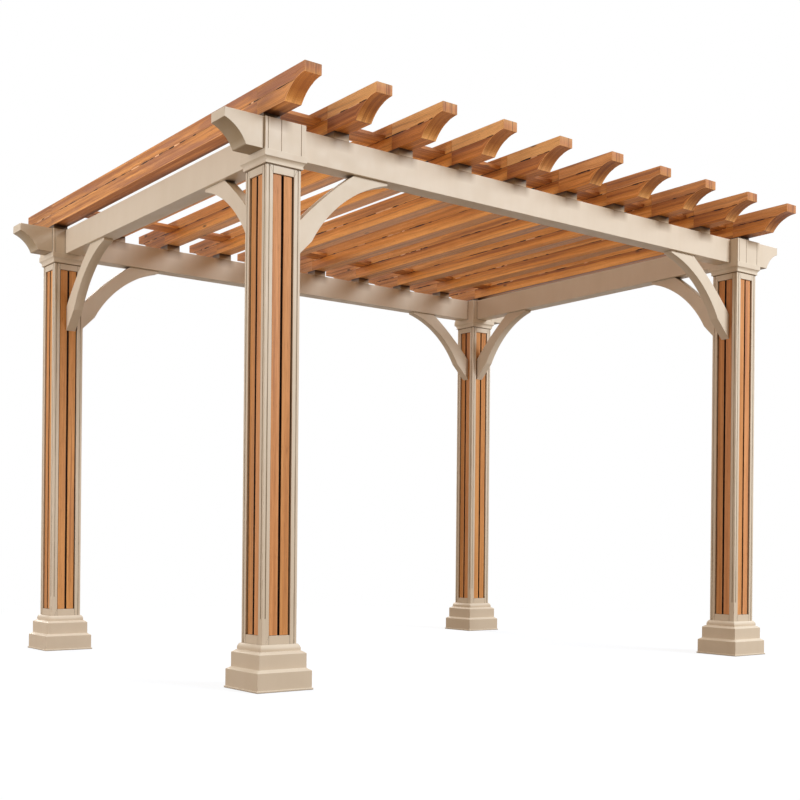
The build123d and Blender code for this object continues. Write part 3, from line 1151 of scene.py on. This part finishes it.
# %% Floor and world
floor_half = 20.0
floor_drop = 0.001
glow_from, glow_full = 2.6, 5.5
opaque_white = (1.0, 1.0, 1.0, 1.0)


def seen_directly(tree):
    """1 for a ray from the camera, also by way of shine or glass, and 0 for a ray that brings light."""
    path = add_node(tree, "ShaderNodeLightPath").outputs
    seen = calculate(tree, "MAXIMUM", path["Is Camera Ray"], path["Is Glossy Ray"])
    return calculate(tree, "MAXIMUM", seen, path["Is Transmission Ray"])


def light_node(tree, kind, colour, strength=None):
    """A shader of one colour, which glows where a strength is given."""
    inputs = {"Color": colour} if strength is None else {"Color": colour, "Strength": strength}
    return add_node(tree, kind, inputs).outputs[0]


def mix_shaders(tree, share, first, second):
    """Mixes two shaders by a share."""
    return add_node(tree, "ShaderNodeMixShader", {"Fac": share, 1: first, 2: second}).outputs[0]


outline = rectangle(-floor_half, floor_half, -floor_half, floor_half)
floor_mesh = bpy.data.meshes.new("floor")
floor_mesh.from_pydata([(x, y, -floor_drop) for x, y in outline], [], [(0, 1, 2, 3)])
floor = bpy.data.objects.new("floor", floor_mesh)
bpy.context.scene.collection.objects.link(floor)

floor_material, tree, shader = new_material("floor_white")
tree.nodes.remove(shader)
bounce = light_node(tree, "ShaderNodeBsdfDiffuse", (0.25, 0.19, 0.125, 1.0))
paper = light_node(tree, "ShaderNodeBsdfDiffuse", (0.26, 0.30, 0.36, 1.0))
glow = light_node(tree, "ShaderNodeEmission", opaque_white, 0.80)
near = add_node(tree, "ShaderNodeAddShader", {0: paper, 1: glow}).outputs[0]
far = light_node(tree, "ShaderNodeEmission", opaque_white, 1.0)
reach = calculate_vector(tree, "LENGTH", add_node(tree, "ShaderNodeTexCoord").outputs["Object"])
bright = mix_shaders(tree, remap(tree, reach, glow_from, glow_full), near, far)
surface = mix_shaders(tree, seen_directly(tree), bounce, bright)
tree.links.new(surface, tree.nodes["Material Output"].inputs["Surface"])
floor_mesh.materials.append(floor_material)

world = bpy.data.worlds.new("studio")
world.use_nodes = True
bpy.context.scene.world = world
tree = world.node_tree
tree.nodes.clear()
warm = light_node(tree, "ShaderNodeBackground", (1.0, 0.80, 0.60, 1.0), 0.46)
plain = light_node(tree, "ShaderNodeBackground", opaque_white, 1.0)
surface = mix_shaders(tree, seen_directly(tree), warm, plain)
add_node(tree, "ShaderNodeOutputWorld", {"Surface": surface})
print("floor", 2 * floor_half, "m wide")

# %% [markdown]
# ## Lamps
# A large cool key lamp stands in front of the pergola, a small fill on its left, and a weaker lamp
# behind it for the views from the back. Under a real roof the timber is lit from the ground. Here
# two low lamps do that, one for the whole roof and one for the tails. They are linked to the roof
# timber alone, so the cream undersides keep their shade.

# %% Place the lamps
def soft_lamp(name, place, aim, width, height, watts, colour, only=None):
    """A large soft lamp that faces a point of the object; only names a collection that it lights."""
    data = bpy.data.lights.new(name, "AREA")
    data.shape = "RECTANGLE"
    data.size = width
    data.size_y = height
    data.energy = watts
    data.color = colour
    lamp = bpy.data.objects.new(name, data)
    lamp.location = place
    lamp.visible_camera = False
    lamp.rotation_euler = (Vector(aim) - Vector(place)).to_track_quat("-Z", "Y").to_euler()
    bpy.context.scene.collection.objects.link(lamp)
    if only:
        lamp.light_linking.receiver_collection = only


roof_timber = bpy.data.collections.new("roof_timber")
for piece in [*rafters, blocking]:
    roof_timber.objects.link(piece)
soft_lamp("key", (6.2, -15.0, 7.6), (0.0, -0.6, 1.6), 8.0, 5.4, 2150.0, (0.86, 0.93, 1.0))
soft_lamp("fill", (-6.8, 0.8, 2.1), (0.0, 0.5, 2.4), 3.0, 2.5, 142.0, (0.95, 0.97, 1.0))
soft_lamp("roof", (-2.6, -0.6, 0.25), (0.2, 0.2, 2.75), 2.4, 2.4, 78.0, (1.0, 0.93, 0.84), roof_timber)
soft_lamp("tails", (-5.2, -2.5, 1.0), (0.0, -1.9, 2.75), 1.6, 1.6, 44.0, (1.0, 0.96, 0.90), roof_timber)
soft_lamp("back", (2.0, 14.0, 6.5), (0.0, 0.6, 1.6), 8.0, 5.4, 1000.0, (1.0, 0.97, 0.93))
bpy.context.scene.view_settings.view_transform = "Standard"
print("lamps:", [light.name for light in bpy.data.lights])
